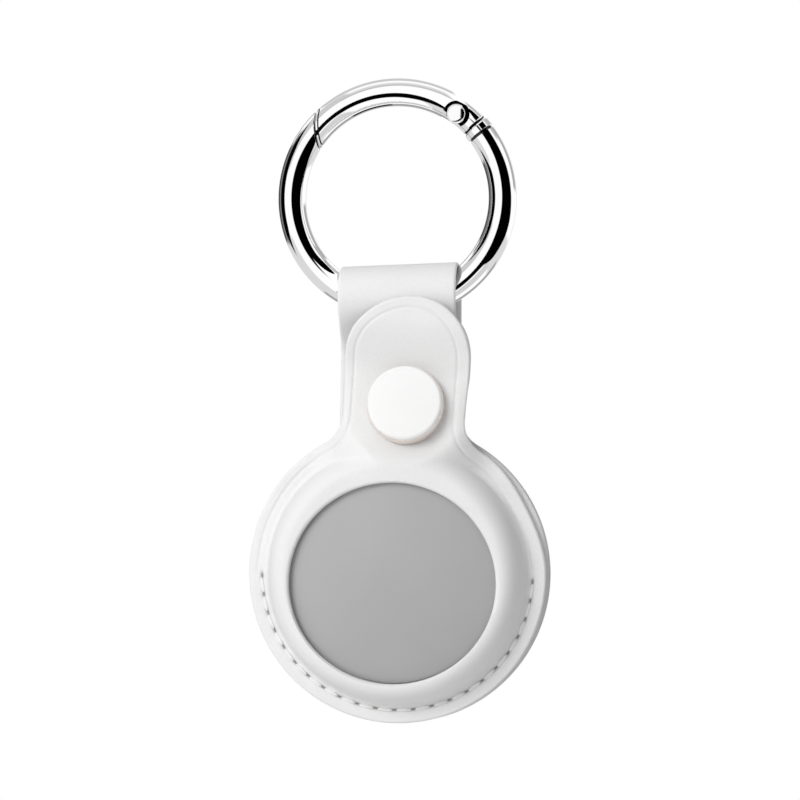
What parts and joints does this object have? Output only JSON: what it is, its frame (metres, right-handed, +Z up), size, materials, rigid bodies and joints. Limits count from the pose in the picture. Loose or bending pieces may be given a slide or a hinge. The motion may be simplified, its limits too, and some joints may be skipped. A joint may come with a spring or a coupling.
{
  "type": "tracker tag holder",
  "caption": "White leather holder for a round tracker tag: moulded pocket with a window, snap tongue and a strap looped on a chrome spring-gate ring.",
  "frame": {"origin": "inside top of the ring's bore, where a hook or a key loop holds it", "axes": "+Z up along the hanging object, front of the holder faces -Y, +X to the viewer's right"},
  "size_m": [0.0402, 0.011, 0.0874],
  "materials": {
    "chrome": "polished plating",
    "steel": "satin",
    "leather": "fine grain, coated",
    "thread": "twisted thread",
    "enamel": "white enamel on brass",
    "plastic": "polished white plastic",
    "board": "circuit board",
    "copper": "plated spring metal"
  },
  "bodies": {
    "ring": {"ring_body": "chrome"},
    "gate": {"gate": "chrome", "hinge_pin": "chrome", "gate_plunger": "steel", "gate_spring": "steel"},
    "holder": {"back_panel": "leather", "front_panel": "leather", "needle_thread": "thread", "bobbin_thread": "thread", "snap_stud": "steel", "snap_post": "steel"},
    "flap": {"flap": "leather", "snap_cap": "enamel", "snap_socket": "steel"},
    "tag": {"tag_shell": "plastic", "coin_cell": "steel", "battery_tray": "plastic", "positive_contact": "copper", "negative_contact": "copper", "circuit_board": "board", "speaker_magnet": "steel", "voice_coil": "copper"},
    "cover": {"tag_cover": "steel"}
  },
  "joints": [
    {"name": "gate_hinge", "type": "hinge", "parent": "ring", "child": "gate", "pos_m": [0.00825, 0, -0.00123], "axis": [0, -1, 0], "range_deg": [0, 28], "stiffness_Nm_per_rad": 0.02, "springref_deg": -20.05},
    {"name": "holder_swing", "type": "hinge", "parent": "ring", "child": "holder", "pos_m": [0, 0, -0.02545], "axis": [1, 0, 0], "range_deg": [-90, 90]},
    {"name": "flap_open", "type": "hinge", "parent": "holder", "child": "flap", "pos_m": [0, -0.0062, -0.0635], "axis": [1, 0, 0], "range_deg": [0, 50]},
    {"name": "tag_turn", "type": "hinge", "parent": "holder", "child": "tag", "pos_m": [0, -0.0013, -0.0635], "axis": [0, 1, 0], "continuous": true},
    {"name": "cover_twist", "type": "hinge", "parent": "tag", "child": "cover", "pos_m": [0, -0.005, -0.0635], "axis": [0, -1, 0], "range_deg": [0, 15]}
  ]
}
